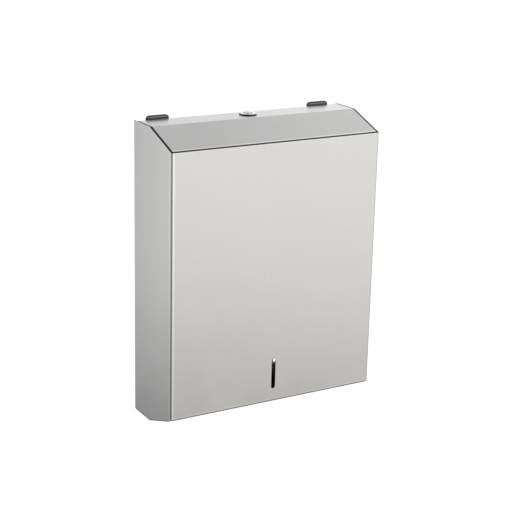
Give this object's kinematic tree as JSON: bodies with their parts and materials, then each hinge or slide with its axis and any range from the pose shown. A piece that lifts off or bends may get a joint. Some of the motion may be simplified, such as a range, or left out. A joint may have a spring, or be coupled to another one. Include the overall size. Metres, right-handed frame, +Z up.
{
  "type": "wall-mounted paper towel dispenser",
  "caption": "Wall-mounted stainless steel dispenser for folded paper towels, with a hinged drop-down cover, a cam lock on top and a view slot.",
  "frame": {"origin": "centre of the four wall screw holes, on the wall plane", "axes": "+Z up, -Y towards the front, +X to the right as seen from the front, the wall in the plane y = 0"},
  "size_m": [0.282, 0.098, 0.369],
  "materials": {
    "cover_steel": "satin brushed stainless sheet",
    "top_steel": "satin brushed stainless sheet, brushed along the width",
    "frame_steel": "plain mill-finish stainless sheet",
    "lock_chrome": "polished chrome plate",
    "zinc_plate": "bright zinc-plated steel",
    "ear_rubber": "grey moulded rubber"
  },
  "bodies": {
    "frame": {"back_plate": "frame_steel", "towel_tray": "frame_steel", "left_guide": "frame_steel", "right_guide": "frame_steel", "lock_keeper": "frame_steel", "keeper_rivets": "zinc_plate", "left_ear_cap": "ear_rubber", "right_ear_cap": "ear_rubber", "hinge_back_leaf": "frame_steel", "hinge_pin": "zinc_plate"},
    "cover": {"hinge_cover_leaf": "frame_steel", "base_rail": "cover_steel", "cover_shell": "cover_steel", "top_panel": "top_steel", "lock_body": "lock_chrome", "lock_washer": "zinc_plate", "lock_nut": "zinc_plate"},
    "lock": {"lock_plug": "lock_chrome", "lock_cam": "zinc_plate", "cam_washer": "zinc_plate", "cam_screw": "zinc_plate"}
  },
  "joints": [
    {"name": "cover_hinge", "type": "hinge", "parent": "frame", "child": "cover", "pos_m": [0, -0.00355, -0.17895], "axis": [1, 0, 0], "range_deg": [0, 90]},
    {"name": "lock_turn", "type": "hinge", "parent": "cover", "child": "lock", "pos_m": [0, -0.022, 0.17], "axis": [0, 0, -1], "range_deg": [0, 90]}
  ]
}
